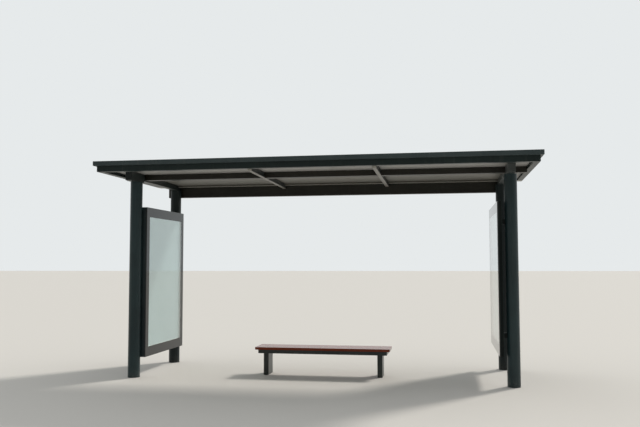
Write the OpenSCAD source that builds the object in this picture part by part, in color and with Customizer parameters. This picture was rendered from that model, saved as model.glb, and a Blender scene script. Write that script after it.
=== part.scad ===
// Bus shelter: four round steel posts carry a flat roof that reaches forward over the waiting side.
// A glazed display case hangs inside the posts at each end, and a bench stands between them.
// All is drawn about the middle of the four posts, then placed with the origin under the roof's middle.
// +X runs along the roof, -Y faces the open waiting side, +Z is up.

/* [Posts] */
// Distance between post centres along the roof
post_span_x = 5090; // [3600:10:6600]
// Distance between post centres front to back
post_span_y = 1520; // [1200:10:2000]
// Outside diameter of a post
post_dia = 165; // [114:1:220]

/* [Roof edge] */
// Height of the underside of the roof's edge frame
edge_under = 2780; // [2300:10:3300]
// Height of the edge frame
edge_h = 78; // [75:1:120]
// Width of the front and side edge frame
edge_w = 78; // [70:1:120]
// Edge frame past the post centres at each end
over_side = 310; // [200:5:450]
// Edge frame past the front post centres
over_front = 582; // [400:1:800]
// Rear edge past the rear post centres
over_rear = 124; // [110:1:200]
// Width of the gutter that forms the rear edge
gutter_w = 158; // [140:1:220]
// Wall thickness of the gutter
gutter_t = 4; // [2:0.5:6]
// Diameter of the two gutter outlets
outlet_dia = 60; // [40:1:80]
// Height of the top band at its outer face
cap_h = 60; // [50:1:90]
// How far the top band stands out past the edge frame
cap_over = 40; // [25:1:60]
// Width of the top band seen from above
cap_w = 90; // [65:1:90]
// Inward fall across the top band
cap_fall = 4; // [1:1:8]

/* [Roof sheets] */
// Depth of the ribs of the deck sheet
rib_h = 35; // [20:1:40]
// Distance between the ribs
rib_pitch = 207; // [160:1:300]
// Width of a rib at its crest
rib_crest = 70; // [30:1:90]
// Width of a rib at its foot
rib_foot = 118; // [100:1:145]
// Thickness of the deck sheet
deck_t = 1; // [0.75:0.25:2]
// Deck sheet past the gutter's front wall
deck_lap = 30; // [15:1:40]
// Ceiling height above the edge frame's underside, at the front
recess_front = 52; // [30:1:60]
// Ceiling height above the edge frame's underside, at the rear
recess_rear = 22; // [10:1:28]
// Thickness of the ceiling sheet
ceiling_t = 8; // [3:1:12]

/* [Beams and rafters] */
// Width of a side rafter, which sits on the posts
side_rafter_w = 94; // [80:1:140]
// Space between a side rafter's front end and the front edge frame
side_rafter_clear = 236; // [40:1:300]
// Depth of a side rafter below the edge frame's underside
side_rafter_drop = 53; // [30:1:90]
// Extra depth of the side rafter where it passes over the front post
haunch_drop = 27; // [10:1:50]
// Length of the deepened part behind the front post centre
haunch_back = 150; // [115:1:260]
// Width of a middle rafter
mid_rafter_w = 52; // [40:1:80]
// Distance of the left middle rafter from the centre
mid_rafter_left = 772; // [500:1:1000]
// Distance of the right middle rafter from the centre
mid_rafter_right = 843; // [500:1:1000]
// Depth of the middle rafters below the edge frame's underside, at the front
mid_drop_front = 26; // [15:1:45]
// Depth of the middle rafters below the edge frame's underside, at the rear
mid_drop_rear = 48; // [30:1:70]
// Distance of the front beam's front face behind the front post centres
front_beam_back = 175; // [160:1:300]
// Width of the front beam
front_beam_w = 120; // [80:1:160]
// Depth of the front beam below the edge frame's underside
front_beam_drop = 38; // [25:1:60]
// Thickness of the rear beam
rear_beam_t = 80; // [50:1:120]
// Depth of the rear beam below the edge frame
rear_beam_h = 163; // [100:1:190]
// Rear beam past the post surface at each end
rear_beam_stub = 70; // [20:1:120]

/* [Display cases] */
// Left case past the post centres, front and rear (negative: it ends short of them)
left_case_past = -39; // [-45:1:80]
// Right case past the post centres, front and rear
right_case_past = 90; // [-45:1:120]
// Height of the left case's lower edge above the ground
left_case_low = 268; // [150:1:500]
// Height of the right case's lower edge above the ground
right_case_low = 385; // [150:1:500]
// Space between the cases and the underside of the edge frame
case_head = 432; // [200:1:700]
// Gap between the left case's back and the post surface
left_case_off = 4; // [4:1:60]
// Gap between the right case's back and the post surface
right_case_off = 36; // [4:1:60]
// Depth of a case body behind its door
case_d = 42; // [38:1:80]
// Thickness of a door
door_t = 16; // [14:1:30]
// Width of a door frame
door_w = 45; // [30:1:60]
// Dark border beside the window, seen through the pane
border_side = 52; // [30:1:100]
// Dark border above and below the window, seen through the pane
border_end = 88; // [30:1:120]
// Depth of the window from the front of the case body to the light panel
window_depth = 19; // [8:1:22]
// Thickness of the light panel
panel_t = 6; // [3:1:8]
// Thickness of the pane
glass_t = 5; // [4:1:6]

/* [Bench] */
// Length of the seat
seat_len = 1880; // [1200:10:2400]
// Number of seat boards
board_count = 5; // [4:1:7]
// Width of a seat board
board_w = 72; // [55:1:110]
// Gap between seat boards
board_gap = 10; // [4:1:15]
// Thickness of a seat board
board_t = 36; // [20:1:45]
// Rounding along the edges of a seat board
board_edge = 4; // [1:0.5:8]
// Height of the seat above the ground
seat_h = 392; // [340:1:520]
// Distance of the seat's front edge behind the shelter's centre line
seat_front = -367; // [-500:1:0]
// Distance of the seat's middle to the right of the shelter's centre line
seat_aside = 12; // [-300:1:300]
// Height of the steel frame under the boards
bench_frame_h = 50; // [20:1:60]
// Seat boards past the steel frame at each end
bench_frame_inset = 42; // [20:1:80]
// Distance of a leg's centre from the end of the seat
leg_inset = 142; // [110:1:400]
// Width of a bench leg
leg_w = 70; // [50:1:100]
// Seat boards past the legs at the front and rear
leg_set_back = 70; // [30:1:90]

/* [Hidden] */

$fn = 0;
// Clearance where one piece seats on or in another
seat_gap = 0.3;
// A cutter runs past the face that it cuts by this much
cut = 1;
steel = [0.23, 0.26, 0.27];
shaded_steel = [0.2, 0.22, 0.23];
lit_steel = [0.29, 0.33, 0.34];
bench_steel = [0.16, 0.17, 0.18];

// Post grid
post_r = post_dia / 2;
post_x = post_span_x / 2;
post_y = post_span_y / 2;

// Roof edge
edge_x = post_x + over_side;
edge_front = -post_y - over_front;
edge_rear = post_y + over_rear;
edge_top = edge_under + edge_h;
inner_x = edge_x - edge_w;
inner_front = edge_front + edge_w;
inner_rear = edge_rear - gutter_w;
gutter_y = (inner_rear + edge_rear) / 2;
cap_x = edge_x + cap_over;
cap_front = edge_front - cap_over;
cap_rear = edge_rear + cap_over;

// Rafters and beams
side_rafter_front = inner_front + side_rafter_clear;
side_rafter_under = edge_under - side_rafter_drop;
side_rafter_in = post_x - side_rafter_w / 2;
side_rafter_out = post_x + side_rafter_w / 2;
haunch_under = side_rafter_under - haunch_drop;
haunch_rear = -post_y + haunch_back;
mid_rafter_half = mid_rafter_w / 2;
beam_front = -post_y + front_beam_back;
beam_rear = beam_front + front_beam_w;
beam_under = edge_under - front_beam_drop;
rear_beam_front = post_y + post_r + seat_gap;
rear_beam_rear = rear_beam_front + rear_beam_t;
rear_beam_x = post_x + post_r + rear_beam_stub;
roof_mid_y = (cap_front + max(cap_rear, rear_beam_rear)) / 2;

// Roof sheets
fall_angle = atan((recess_front - recess_rear) / (inner_rear - inner_front));
deck_front = cap_front + cap_w + seat_gap;
deck_rear = inner_rear + deck_lap;
deck_x = inner_x - seat_gap;
rib_count = floor((2 * deck_x - rib_foot) / rib_pitch) + 1;
web_angle = atan(2 * rib_h / (rib_foot - rib_crest));
web_shift = deck_t * tan(web_angle / 2);

// Display cases, with x counted inward from the surface of the posts
case_top = edge_under - case_head;
case_back_t = 3;
margin_side = door_w + border_side;
margin_end = door_w + border_end;
panel_ledge = 12;
glass_lap = 14;
door_lip = 4;
bracket_w = 60;
bracket_h = 60;
bracket_grip = 30;
bracket_inset = 260;

// Bench
seat_d = board_count * board_w + (board_count - 1) * board_gap;
seat_mid = seat_front + seat_d / 2;
board_under = seat_h - board_t;
bench_frame_under = board_under - bench_frame_h;
bench_frame_x = seat_len / 2 - bench_frame_inset;
leg_x = seat_len / 2 - leg_inset;
leg_d = seat_d - 2 * leg_set_back;
leg_edge = 6;
rail_inset = 18;
rail_w = 30;
ease_steps = 3;

// How far the roof sheets have fallen at a distance y from the middle of the posts
function fall(y) = (recess_front - recess_rear) * (y - inner_front) / (inner_rear - inner_front);

// Height of the ceiling's underside and of the deck's underside
function ceiling_z(y) = edge_under + recess_front - fall(y);
function deck_z(y) = edge_top - fall(y);

// Underside height of a middle rafter, deeper towards the rear beam
function mid_part(y) = (y - inner_front) / (rear_beam_front - inner_front);
function mid_under(y) = edge_under - mid_drop_front - (mid_drop_rear - mid_drop_front) * mid_part(y);

// Sizes that differ between the left case (side -1) and the right case (side 1)
function case_half(side) = post_y + (side < 0 ? left_case_past : right_case_past);
function case_low(side) = side < 0 ? left_case_low : right_case_low;
function case_off(side) = side < 0 ? left_case_off : right_case_off;
function case_face(side) = case_off(side) + case_d;
function door_back(side) = case_face(side) + seat_gap;
function door_face(side) = door_back(side) + door_t;
function panel_face(side) = case_face(side) - window_depth;

// Saddles between posts and cases: full height on the left, where they close the slit beside the post
function saddle_h(side) = side < 0 ? case_top - case_low(side) : bracket_h;
function saddle_levels(side) =
    side < 0 ? [(case_top + case_low(side)) / 2] : [case_low(side) + bracket_inset, case_top - bracket_inset];

// Corner points of a w by h outline with eased corners, lower left corner at the origin
function eased(w, h, r) = [
    for (corner = [[w - r, r, -90], [w - r, h - r, 0], [r, h - r, 90], [r, r, 180]])
        for (i = [0:ease_steps])
            let (a = corner[2] + 90 * i / ease_steps)
                [corner[0] + r * cos(a), corner[1] + r * sin(a)]
];

// Upper line of the deck sheet: crest and foot points of each rib, lowered and narrowed by a shift
function rib_middle(i) = (i - (rib_count - 1) / 2) * rib_pitch;
function rib_line(shift, z) = [
    for (i = [0:rib_count - 1])
        for (corner = [[-rib_foot / 2 + shift, z], [-rib_crest / 2 + shift, z + rib_h],
                       [rib_crest / 2 - shift, z + rib_h], [rib_foot / 2 - shift, z]])
            [rib_middle(i) + corner[0], corner[1]]
];
function reversed(points) = [for (i = [len(points) - 1:-1:0]) points[i]];

// Moves a sub-part from the posts' middle to the roof's middle
module placed() {
    translate([0, -roof_mid_y, 0]) children();
}

// Moves a bench part to the middle of the seat
module on_seat() {
    translate([seat_aside, 0, 0]) children();
}

// Box between two corners
module block(low, high) {
    translate(low) cube(high - low);
}

// Bar along X with a drawn Y-Z profile
module bar_x(profile, x_low, x_high) {
    translate([x_low, 0, 0]) rotate([90, 0, 90]) linear_extrude(height = x_high - x_low) polygon(profile);
}

// Upright round bar
module round_bar(radius, x, y, z_low, z_high) {
    translate([x, y, z_low]) cylinder(r = radius, h = z_high - z_low);
}

// Post that ends under the side rafter
module post(x, y, top) {
    color(steel) round_bar(post_r, x, y, 0, top);
}

// Rafter on the posts: deeper over the front post, cut to the ceiling's fall
module side_rafter(x) {
    rear = inner_rear - seat_gap;
    profile = [
        [side_rafter_front, haunch_under],
        [haunch_rear, haunch_under],
        [haunch_rear, side_rafter_under],
        [rear_beam_front, side_rafter_under],
        [rear_beam_front, edge_under],
        [rear, edge_under],
        [rear, ceiling_z(inner_rear) - seat_gap],
        [side_rafter_front, ceiling_z(side_rafter_front) - seat_gap]
    ];
    color(steel) bar_x(profile, x - side_rafter_w / 2, x + side_rafter_w / 2);
}

// Thin rafter from the front edge to the rear beam, deeper towards the rear
module middle_rafter(x) {
    rear = inner_rear - seat_gap;
    profile = [
        [inner_front, mid_under(inner_front)],
        [rear_beam_front, mid_under(rear_beam_front)],
        [rear_beam_front, edge_under],
        [rear, edge_under],
        [rear, ceiling_z(inner_rear) - seat_gap],
        [inner_front, ceiling_z(inner_front) - seat_gap]
    ];
    color(steel) bar_x(profile, x - mid_rafter_half, x + mid_rafter_half);
}

// One length of the front beam, cut to the ceiling's fall
module beam_length(x_low, x_high) {
    profile = [
        [beam_front, beam_under],
        [beam_rear, beam_under],
        [beam_rear, ceiling_z(beam_rear) - seat_gap],
        [beam_front, ceiling_z(beam_front) - seat_gap]
    ];
    bar_x(profile, x_low, x_high);
}

// Front beam in lengths between the rafters and out to the side edges
module front_beam() {
    color(shaded_steel) {
        beam_length(-inner_x, -side_rafter_out);
        beam_length(-side_rafter_in, -mid_rafter_left - mid_rafter_half);
        beam_length(-mid_rafter_left + mid_rafter_half, mid_rafter_right - mid_rafter_half);
        beam_length(mid_rafter_right + mid_rafter_half, side_rafter_in);
        beam_length(side_rafter_out, inner_x);
    }
}

// Deep beam behind the rear posts
module rear_beam() {
    low = [-rear_beam_x, rear_beam_front, edge_under - rear_beam_h];
    high = [rear_beam_x, rear_beam_rear, edge_under];
    color(shaded_steel) block(low, high);
}

// Front member of the edge frame, mitred to the side members
module front_edge() {
    plan = [[-edge_x, edge_front], [edge_x, edge_front], [inner_x, inner_front], [-inner_x, inner_front]];
    color(steel) translate([0, 0, edge_under]) linear_extrude(height = edge_h) polygon(plan);
}

// Side member of the edge frame, from the front mitre to the gutter
module side_edge(side) {
    plan = [
        [side * edge_x, edge_front],
        [side * edge_x, inner_rear],
        [side * inner_x, inner_rear],
        [side * inner_x, inner_front]
    ];
    color(steel) translate([0, 0, edge_under]) linear_extrude(height = edge_h) polygon(plan);
}

// Gutter along the rear edge: closed ends, front wall lowered for the deck, an outlet over each rear post
module rear_gutter() {
    wall_front = inner_rear + gutter_t;
    channel_low = [gutter_t - edge_x, wall_front, edge_under + gutter_t];
    channel_high = [edge_x - gutter_t, edge_rear - gutter_t, edge_top + cut];
    deck_seat = deck_z(inner_rear) - seat_gap;
    color(steel) difference() {
        block([-edge_x, inner_rear, edge_under], [edge_x, edge_rear, edge_top]);
        block(channel_low, channel_high);
        block([-inner_x, inner_rear - cut, deck_seat], [inner_x, wall_front + cut, edge_top + cut]);
        for (x = [-post_x, post_x]) {
            round_bar(outlet_dia / 2, x, gutter_y, edge_under - cut, edge_under + gutter_t + cut);
        }
    }
}

// One side of the top band along X, outer face at y = 0, falling inward, with mitred ends
module cap_side(half) {
    profile = [[0, 0], [cap_w, 0], [cap_w, cap_h - cap_fall], [0, cap_h]];
    plan = [[-half, 0], [half, 0], [half - cap_w, cap_w], [cap_w - half, cap_w]];
    color(lit_steel) intersection() {
        bar_x(profile, -half, half);
        translate([0, 0, -cut]) linear_extrude(height = cap_h + 2 * cut) polygon(plan);
    }
}

module front_cap() {
    translate([0, cap_front, edge_top]) cap_side(cap_x);
}

module rear_cap() {
    translate([0, cap_rear, edge_top]) rotate([0, 0, 180]) cap_side(cap_x);
}

module side_cap(side) {
    translate([side * cap_x, (cap_front + cap_rear) / 2, edge_top])
        rotate([0, 0, side * 90]) cap_side((cap_rear - cap_front) / 2);
}

// Ribbed deck sheet laid to the fall, from the front edge frame into the gutter
module roof_deck() {
    upper = concat([[-deck_x, deck_t]], rib_line(0, deck_t), [[deck_x, deck_t]]);
    under = concat([[-deck_x, 0]], rib_line(web_shift, 0), [[deck_x, 0]]);
    color([0.33, 0.36, 0.37]) translate([0, deck_rear, deck_z(deck_rear)])
        rotate([90 - fall_angle, 0, 0])
            linear_extrude(height = (deck_rear - deck_front) / cos(fall_angle))
                polygon(concat(upper, reversed(under)));
}

// Ceiling sheet with the same fall
module ceiling_sheet() {
    profile = [
        [inner_front, ceiling_z(inner_front)],
        [inner_rear, ceiling_z(inner_rear)],
        [inner_rear, ceiling_z(inner_rear) + ceiling_t],
        [inner_front, ceiling_z(inner_front) + ceiling_t]
    ];
    color([0.55, 0.56, 0.53]) bar_x(profile, -inner_x, inner_x);
}

// Places a case part: x = 0 on the posts' surface, +x towards the waiting space
module at_end(side) {
    if (side < 0) {
        translate([post_r - post_x, 0, 0]) children();
    } else {
        mirror([1, 0, 0]) translate([post_r - post_x, 0, 0]) children();
    }
}

// Back plate of a case
module case_back(side) {
    off = case_off(side);
    half = case_half(side);
    color(steel) at_end(side) block([off, -half, case_low(side)], [off + case_back_t, half, case_top]);
}

// Window through a case body, rebated from behind for the light panel
module case_window(side) {
    y = case_half(side) - margin_side;
    low = case_low(side) + margin_end;
    high = case_top - margin_end;
    ledge = panel_ledge;
    block([case_off(side), -y, low], [case_face(side) + cut, y, high]);
    block([case_off(side), -y - ledge, low - ledge], [panel_face(side), y + ledge, high + ledge]);
}

// Upper and lower members of a case body, through to its ends
module case_rails(side) {
    back = case_off(side) + case_back_t;
    half = case_half(side);
    face = case_face(side);
    color(shaded_steel) at_end(side) difference() {
        union() {
            block([back, -half, case_low(side)], [face, half, case_low(side) + margin_end]);
            block([back, -half, case_top - margin_end], [face, half, case_top]);
        }
        case_window(side);
    }
}

// Upright members of a case body, between the rails
module case_stiles(side) {
    back = case_off(side) + case_back_t;
    half = case_half(side);
    face = case_face(side);
    low = case_low(side) + margin_end;
    high = case_top - margin_end;
    color(shaded_steel) at_end(side) difference() {
        union() {
            block([back, -half, low], [face, margin_side - half, high]);
            block([back, half - margin_side, low], [face, half, high]);
        }
        case_window(side);
    }
}

// Space behind the lip of a door frame, where the pane sits
module pane_pocket(side) {
    y = case_half(side) - door_w + glass_lap + seat_gap;
    low = case_low(side) + door_w - glass_lap - seat_gap;
    high = case_top - door_w + glass_lap + seat_gap;
    block([door_back(side) - cut, -y, low], [door_face(side) - door_lip, y, high]);
}

// One mitred member of a door frame, drawn as a Y-Z outline
module door_member(side, outline) {
    difference() {
        bar_x(outline, door_back(side), door_face(side));
        pane_pocket(side);
    }
}

// Door members above and below the pane
module door_rails(side) {
    half = case_half(side);
    inner = half - door_w;
    low = case_low(side);
    under = case_top - door_w;
    color(lit_steel) at_end(side) {
        door_member(side, [[-half, low], [half, low], [inner, low + door_w], [-inner, low + door_w]]);
        door_member(side, [[-half, case_top], [-inner, under], [inner, under], [half, case_top]]);
    }
}

// Door members beside the pane
module door_stiles(side) {
    half = case_half(side);
    inner = half - door_w;
    low = case_low(side);
    color(lit_steel) at_end(side) {
        for (end = [-1, 1]) {
            door_member(side, [
                [end * half, low],
                [end * inner, low + door_w],
                [end * inner, case_top - door_w],
                [end * half, case_top]
            ]);
        }
    }
}

// Opal panel that spreads the light, in the rebate behind the window
module light_panel(side) {
    y = case_half(side) - margin_side + panel_ledge - seat_gap;
    low = case_low(side) + margin_end - panel_ledge + seat_gap;
    high = case_top - margin_end + panel_ledge - seat_gap;
    front = panel_face(side) - seat_gap;
    color([0.85, 0.9, 0.86]) at_end(side) block([front - panel_t, -y, low], [front, y, high]);
}

// Pane behind the lip of the door frame
module case_glass(side) {
    y = case_half(side) - door_w + glass_lap;
    low = case_low(side) + door_w - glass_lap;
    high = case_top - door_w + glass_lap;
    front = door_face(side) - door_lip - seat_gap;
    color([0.8, 0.9, 0.88, 0.4]) at_end(side) block([front - glass_t, -y, low], [front, y, high]);
}

// Saddle between a round post and the flat back of a case
module case_saddle(side, end, z) {
    outer = min(case_half(side), post_y + bracket_w / 2);
    inner = outer - bracket_w;
    difference() {
        block([-bracket_grip, end < 0 ? -outer : inner, z - saddle_h(side) / 2],
              [case_off(side), end < 0 ? -inner : outer, z + saddle_h(side) / 2]);
        round_bar(post_r + seat_gap, -post_r, end * post_y, z - saddle_h(side), z + saddle_h(side));
    }
}

module case_brackets(side) {
    color(steel) at_end(side) {
        for (end = [-1, 1], z = saddle_levels(side)) {
            case_saddle(side, end, z);
        }
    }
}

// Hardwood boards along the seat
module seat_boards() {
    color([0.5, 0.27, 0.2]) {
        for (i = [0:board_count - 1]) {
            translate([0, seat_front + i * (board_w + board_gap), board_under])
                bar_x(eased(board_w, board_t, board_edge), -seat_len / 2, seat_len / 2);
        }
    }
}

// Front and rear rails of the bench frame
module bench_long_rails() {
    color(bench_steel) {
        for (front = [seat_front + rail_inset, seat_front + seat_d - rail_inset - rail_w]) {
            block([-bench_frame_x, front, bench_frame_under], [bench_frame_x, front + rail_w, board_under]);
        }
    }
}

// Rails across the bench frame: one at each end, one over each leg and one in the middle
module bench_cross_rails() {
    front = seat_front + rail_inset + rail_w;
    rear = seat_front + seat_d - rail_inset - rail_w;
    color(bench_steel) {
        for (x = [rail_w / 2 - bench_frame_x, 0, bench_frame_x - rail_w / 2]) {
            block([x - rail_w / 2, front, bench_frame_under], [x + rail_w / 2, rear, board_under]);
        }
        for (x = [-leg_x, leg_x]) {
            block([x - leg_w / 2, front, bench_frame_under], [x + leg_w / 2, rear, board_under]);
        }
    }
}

// Box leg with eased corners under a cross rail
module bench_leg(x) {
    color(bench_steel) translate([x - leg_w / 2, seat_mid - leg_d / 2, 0])
        linear_extrude(height = bench_frame_under) polygon(eased(leg_w, leg_d, leg_edge));
}

placed() post(-post_x, -post_y, haunch_under);  // front_left_post
placed() post(post_x, -post_y, haunch_under);  // front_right_post
placed() post(-post_x, post_y, side_rafter_under);  // rear_left_post
placed() post(post_x, post_y, side_rafter_under);  // rear_right_post
placed() side_rafter(-post_x);  // left_side_rafter
placed() side_rafter(post_x);  // right_side_rafter
placed() middle_rafter(-mid_rafter_left);  // left_middle_rafter
placed() middle_rafter(mid_rafter_right);  // right_middle_rafter
placed() front_beam();
placed() rear_beam();
placed() front_edge();
placed() side_edge(-1);  // left_edge
placed() side_edge(1);  // right_edge
placed() rear_gutter();
placed() front_cap();
placed() rear_cap();
placed() side_cap(-1);  // left_cap
placed() side_cap(1);  // right_cap
placed() roof_deck();
placed() ceiling_sheet();
placed() case_back(-1);  // left_case_back
placed() case_rails(-1);  // left_case_rails
placed() case_stiles(-1);  // left_case_stiles
placed() door_rails(-1);  // left_door_rails
placed() door_stiles(-1);  // left_door_stiles
placed() light_panel(-1);  // left_light_panel
placed() case_glass(-1);  // left_case_glass
placed() case_brackets(-1);  // left_case_brackets
placed() case_back(1);  // right_case_back
placed() case_rails(1);  // right_case_rails
placed() case_stiles(1);  // right_case_stiles
placed() door_rails(1);  // right_door_rails
placed() door_stiles(1);  // right_door_stiles
placed() light_panel(1);  // right_light_panel
placed() case_glass(1);  // right_case_glass
placed() case_brackets(1);  // right_case_brackets
placed() on_seat() seat_boards();
placed() on_seat() bench_long_rails();
placed() on_seat() bench_cross_rails();
placed() on_seat() bench_leg(-leg_x);  // bench_left_leg
placed() on_seat() bench_leg(leg_x);  // bench_right_leg
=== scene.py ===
"""Looks of a bus shelter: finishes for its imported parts, and the small pieces on them.

Every length is in metres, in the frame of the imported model: +X along the roof, -Y the open
waiting side, +Z up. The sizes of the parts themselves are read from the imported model.
"""

import logging
import math
import random
from dataclasses import dataclass, replace
from enum import Enum
from functools import cached_property

import bmesh
import bpy
from mathutils import Matrix, Vector


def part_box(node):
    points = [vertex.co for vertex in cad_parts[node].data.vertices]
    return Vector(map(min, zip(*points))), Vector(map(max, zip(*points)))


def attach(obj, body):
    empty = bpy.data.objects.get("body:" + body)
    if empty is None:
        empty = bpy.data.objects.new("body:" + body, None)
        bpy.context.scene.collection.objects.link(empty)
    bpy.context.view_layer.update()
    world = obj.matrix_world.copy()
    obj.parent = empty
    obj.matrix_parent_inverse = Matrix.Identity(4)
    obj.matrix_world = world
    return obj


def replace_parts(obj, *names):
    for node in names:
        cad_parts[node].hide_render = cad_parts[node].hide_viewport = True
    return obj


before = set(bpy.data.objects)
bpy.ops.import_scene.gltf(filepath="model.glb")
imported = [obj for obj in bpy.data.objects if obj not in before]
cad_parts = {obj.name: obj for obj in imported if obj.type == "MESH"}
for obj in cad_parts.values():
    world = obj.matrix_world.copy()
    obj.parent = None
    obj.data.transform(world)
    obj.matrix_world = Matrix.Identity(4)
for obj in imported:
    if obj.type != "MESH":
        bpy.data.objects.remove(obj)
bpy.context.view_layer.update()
MM = 0.001
log = logging.getLogger("shelter")

Socket = bpy.types.NodeSocket
Span = tuple[float, float]

# The corners of a square about the origin, in order round it
SQUARE = ((-1, -1), (1, -1), (1, 1), (-1, 1))
# Distances past a line over which one coat gives way to the next
COAT_EDGE: Span = (0.5 * MM, 1 * MM)
# The part of a normal along an axis: of a face set against it, and of one that no longer is
AGAINST: Span = (-0.95, -0.6)
# The upward part of a normal: of a face too steep for dust, and of one that is level
LEVELLING: Span = (0.3, 0.95)
# The ends of a factor that rises, and of one that falls
RISING: Span = (0.0, 1.0)
FALLING: Span = (1.0, 0.0)
# A smooth and clamped step from one factor to another. That node's inputs 1 and 2 are the
# values of the first that give the two ends, and 3 and 4 are the ends.
SMOOTHLY = {"interpolation_type": "SMOOTHSTEP"}
# How strong the finer octaves of a noise are
FINER_OCTAVES = 0.55
# The index of refraction of a coating's resin
RESIN_IOR = 1.5


# --- Names and choices ---------------------------------------------------------------------


class Slot(Enum):
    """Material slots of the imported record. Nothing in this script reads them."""

    GLASS = "case_glass"
    BORDER = "border_paint"


class End(Enum):
    """The two ends of the shelter, with the direction in which a case there faces."""

    LEFT = 1
    RIGHT = -1

    @property
    def word(self) -> str:
        """Give the word that starts the names of this end's parts."""
        return self.name.lower()


class Shape(Enum):
    """How a position is squeezed along X, Y and Z before a pattern reads it."""

    EVEN = (1.0, 1.0, 1.0)
    RUNS_DOWN = (1.0, 1.0, 0.045)
    ALONG_X = (0.05, 1.0, 1.0)
    LONG_ALONG_X = (0.02, 1.0, 1.0)
    ALONG_Y = (1.0, 0.06, 1.0)


# --- Node helpers --------------------------------------------------------------------------


def linear(code: str) -> tuple[float, float, float, float]:
    """Turn an sRGB hex colour into a linear one.

    Args:
        code: The colour as six hex digits.

    Returns:
        Red, green, blue and a full alpha.
    """
    parts = [int(code[i : i + 2], 16) / 255 for i in (0, 2, 4)]
    bent = [c / 12.92 if c <= 0.04045 else ((c + 0.055) / 1.055) ** 2.4 for c in parts]
    return (bent[0], bent[1], bent[2], 1.0)


def add_node(
    tree: bpy.types.NodeTree, kind: str, values: dict | None = None
) -> bpy.types.Node:
    """Add one node with its settings and links.

    Args:
        tree: The tree that takes the node.
        kind: The node's Blender type.
        values: What its properties and inputs are given, by name or number: an output of
            another node is linked, and any other value is set.

    Returns:
        The new node.
    """
    node = tree.nodes.new(kind)
    for name, value in (values or {}).items():
        if isinstance(value, Socket):
            tree.links.new(value, node.inputs[name])
        elif isinstance(name, str) and hasattr(node, name):
            setattr(node, name, value)
        else:
            node.inputs[name].default_value = value
    return node


@dataclass(frozen=True)
class Mottle:
    """A noise that fades from one value to another.

    Attributes:
        size: The size of a patch, in metres.
        detail: The noise's octaves.
        fade: The noise's own values between which it fades.
        ends: The values that it fades between.
        shape: How the position is squeezed.
        rough: How strong the finer octaves are.
    """

    size: float
    detail: float
    fade: Span
    ends: Span = RISING
    shape: Shape = Shape.EVEN
    rough: float = FINER_OCTAVES


@dataclass(frozen=True)
class Relief:
    """A bumped surface.

    Attributes:
        size: The size of a bump.
        detail: Its octaves.
        depth: Its real depth.
        strength: How much of it is applied.
    """

    size: float
    detail: float
    depth: float
    strength: float = 1.0


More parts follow.
